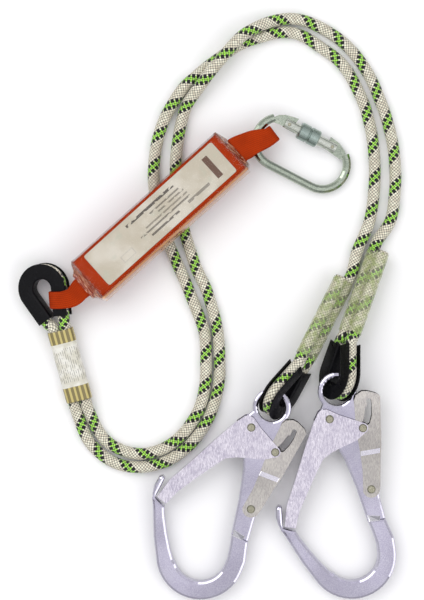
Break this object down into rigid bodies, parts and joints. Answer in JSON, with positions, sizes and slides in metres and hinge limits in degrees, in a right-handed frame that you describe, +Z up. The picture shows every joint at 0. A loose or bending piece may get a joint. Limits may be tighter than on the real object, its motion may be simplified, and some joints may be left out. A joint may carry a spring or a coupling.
{
  "type": "shock absorbing lanyard",
  "caption": "Forked rope fall-arrest lanyard with a tear-webbing shock absorber, scaffold hooks and a screw-lock carabiner.",
  "frame": {"origin": "on the floor under the centre of the hardware's box (rope legs left out)", "axes": "+Z up from the floor it lies on, +Y from the scaffold hooks towards the carabiner, +X to the right seen from above"},
  "size_m": [0.381, 0.5843, 0.0506],
  "materials": {
    "rope": "matte",
    "thimble": "satin",
    "clear_sleeve": "satin",
    "printed_sleeve": "satin",
    "webbing": "matte",
    "cover_film": "gloss",
    "label": "satin",
    "forged_zinc": "gloss",
    "sheet_zinc": "gloss",
    "carabiner_zinc": "gloss",
    "screw_sleeve_zinc": "satin",
    "spring_steel": "satin"
  },
  "bodies": {
    "rope": {"rope_leg_left": "rope", "rope_leg_right": "rope", "rope_eye_absorber": "rope", "rope_eye_left": "rope", "rope_eye_right": "rope", "thimble_absorber": "thimble", "thimble_left": "thimble", "thimble_right": "thimble", "label_sleeve": "printed_sleeve", "splice_sleeve_left": "clear_sleeve", "splice_sleeve_right": "clear_sleeve"},
    "absorber": {"absorber_cover": "cover_film", "tear_webbing": "webbing", "identification_label": "label", "carabiner_loop": "webbing", "lanyard_loop": "webbing"},
    "carabiner": {"carabiner_frame": "carabiner_zinc"},
    "carabiner_gate_body": {"carabiner_gate": "carabiner_zinc", "carabiner_hinge_pin": "carabiner_zinc", "carabiner_latch_pin": "carabiner_zinc", "carabiner_plunger": "spring_steel", "carabiner_gate_spring": "spring_steel"},
    "screw_sleeve_body": {"screw_sleeve": "screw_sleeve_zinc"},
    "hook_left": {"hook_body_left": "forged_zinc", "gate_rivet_left": "sheet_zinc", "lever_rivet_left": "sheet_zinc", "lever_spring_left": "spring_steel"},
    "hook_gate_left": {"gate_left": "sheet_zinc", "lock_pin_left": "sheet_zinc", "gate_spring_left": "spring_steel"},
    "hook_lever_left": {"lock_lever_left": "sheet_zinc"},
    "hook_right": {"hook_body_right": "forged_zinc", "gate_rivet_right": "sheet_zinc", "lever_rivet_right": "sheet_zinc", "lever_spring_right": "spring_steel"},
    "hook_gate_right": {"gate_right": "sheet_zinc", "lock_pin_right": "sheet_zinc", "gate_spring_right": "spring_steel"},
    "hook_lever_right": {"lock_lever_right": "sheet_zinc"}
  },
  "joints": [
    {"name": "absorber_lift", "type": "hinge", "parent": "rope", "child": "absorber", "pos_m": [-0.14367, 0.05591, 0.01929], "axis": [0.0741, -0.9934, -0.0878], "range_deg": [0, 60]},
    {"name": "carabiner_swing", "type": "hinge", "parent": "absorber", "child": "carabiner", "pos_m": [0.0723, 0.21183, 0.01524], "axis": [0.124, -0.0632, 0.9903], "range_deg": [-45, 5]},
    {"name": "carabiner_gate_hinge", "type": "hinge", "parent": "carabiner", "child": "carabiner_gate_body", "pos_m": [0.12408, 0.20767, 0.0085], "axis": [0.124, -0.0632, 0.9903], "range_deg": [0, 25], "stiffness_Nm_per_rad": 0.03, "springref_deg": -22.92, "deforming": ["carabiner_gate_spring", "carabiner_plunger"]},
    {"name": "screw_sleeve_travel", "type": "slide", "parent": "carabiner_gate_body", "child": "screw_sleeve_body", "axis": [-0.8823, 0.4496, 0.1392], "range_m": [-0.009, 0.0045]},
    {"name": "hook_left_swing", "type": "hinge", "parent": "rope", "child": "hook_left", "pos_m": [0.0733, -0.0386, 0.02551], "axis": [-0.7362, 0.5155, -0.4384], "range_deg": [0, 70]},
    {"name": "hook_left_gate", "type": "hinge", "parent": "hook_left", "child": "hook_gate_left", "pos_m": [0.04408, -0.07037, 0.02322], "axis": [-0.038, -0.0792, 0.9961], "range_deg": [0, 32], "stiffness_Nm_per_rad": 0.06, "springref_deg": -22.92, "deforming": ["gate_spring_left"]},
    {"name": "hook_left_lever", "type": "hinge", "parent": "hook_left", "child": "hook_lever_left", "pos_m": [0.04379, -0.15197, 0.01672], "axis": [-0.038, -0.0792, 0.9961], "range_deg": [0, 3.5], "deforming": ["lever_spring_left"]},
    {"name": "hook_right_swing", "type": "hinge", "parent": "rope", "child": "hook_right", "pos_m": [0.1313, -0.02, 0.02495], "axis": [-0.8352, 0.1473, 0.5299], "range_deg": [0, 70]},
    {"name": "hook_right_gate", "type": "hinge", "parent": "hook_right", "child": "hook_gate_right", "pos_m": [0.12121, -0.06212, 0.02274], "axis": [0.008, -0.0848, 0.9964], "range_deg": [0, 32], "stiffness_Nm_per_rad": 0.06, "springref_deg": -22.92, "deforming": ["gate_spring_right"]},
    {"name": "hook_right_lever", "type": "hinge", "parent": "hook_right", "child": "hook_lever_right", "pos_m": [0.16299, -0.13223, 0.01643], "axis": [0.008, -0.0848, 0.9964], "range_deg": [0, 3.5], "deforming": ["lever_spring_right"]}
  ],
  "couplings": [
    {"joint": "hook_left_lever", "follows": "hook_left_gate", "ratio": 0.10938},
    {"joint": "hook_right_lever", "follows": "hook_right_gate", "ratio": 0.10938}
  ]
}
